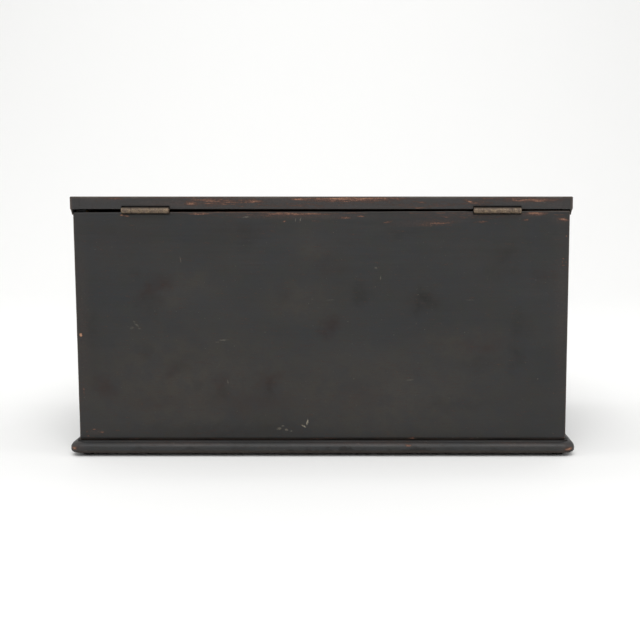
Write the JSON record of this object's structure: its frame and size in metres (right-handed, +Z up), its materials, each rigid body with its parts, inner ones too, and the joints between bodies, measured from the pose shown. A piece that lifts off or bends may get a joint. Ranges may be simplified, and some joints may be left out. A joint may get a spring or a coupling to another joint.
{
  "type": "painted wooden box",
  "caption": "Low rectangular wooden box painted black, with a hinged lift lid, a moulded base board and small button feet, for papers and keepsakes.",
  "frame": {"origin": "middle of the footprint, level with the undersides of the feet", "axes": "+Z up, +Y towards the hinged back, +X towards the right-hand end as seen from the front"},
  "size_m": [0.418, 0.2562, 0.2134],
  "materials": {
    "painted_wood": "worn satin black paint",
    "iron": "dull, partly rusted",
    "aged_brass": "brown tarnish"
  },
  "bodies": {
    "case": {"front_board": "painted_wood", "back_board": "painted_wood", "left_end_board": "painted_wood", "right_end_board": "painted_wood", "base_board": "painted_wood", "foot_front_left": "painted_wood", "foot_front_right": "painted_wood", "foot_back_left": "painted_wood", "foot_back_right": "painted_wood", "back_nails": "iron", "front_nails": "iron", "base_nails": "iron", "foot_nails": "iron", "hinge_left_case_leaf": "aged_brass", "hinge_left_pin": "aged_brass", "hinge_right_case_leaf": "aged_brass", "hinge_right_pin": "aged_brass", "hinge_left_case_screws": "aged_brass", "hinge_right_case_screws": "aged_brass"},
    "lid": {"lid_board": "painted_wood", "lid_moulding_left": "painted_wood", "lid_moulding_right": "painted_wood", "lid_moulding_front": "painted_wood", "lid_brads": "iron", "hinge_left_lid_leaf": "aged_brass", "hinge_right_lid_leaf": "aged_brass", "hinge_left_lid_screws": "aged_brass", "hinge_right_lid_screws": "aged_brass"}
  },
  "joints": [
    {"name": "lid_hinge", "type": "hinge", "parent": "case", "child": "lid", "pos_m": [0, 0.122, 0.20233], "axis": [-1, 0, 0], "range_deg": [0, 195]}
  ]
}
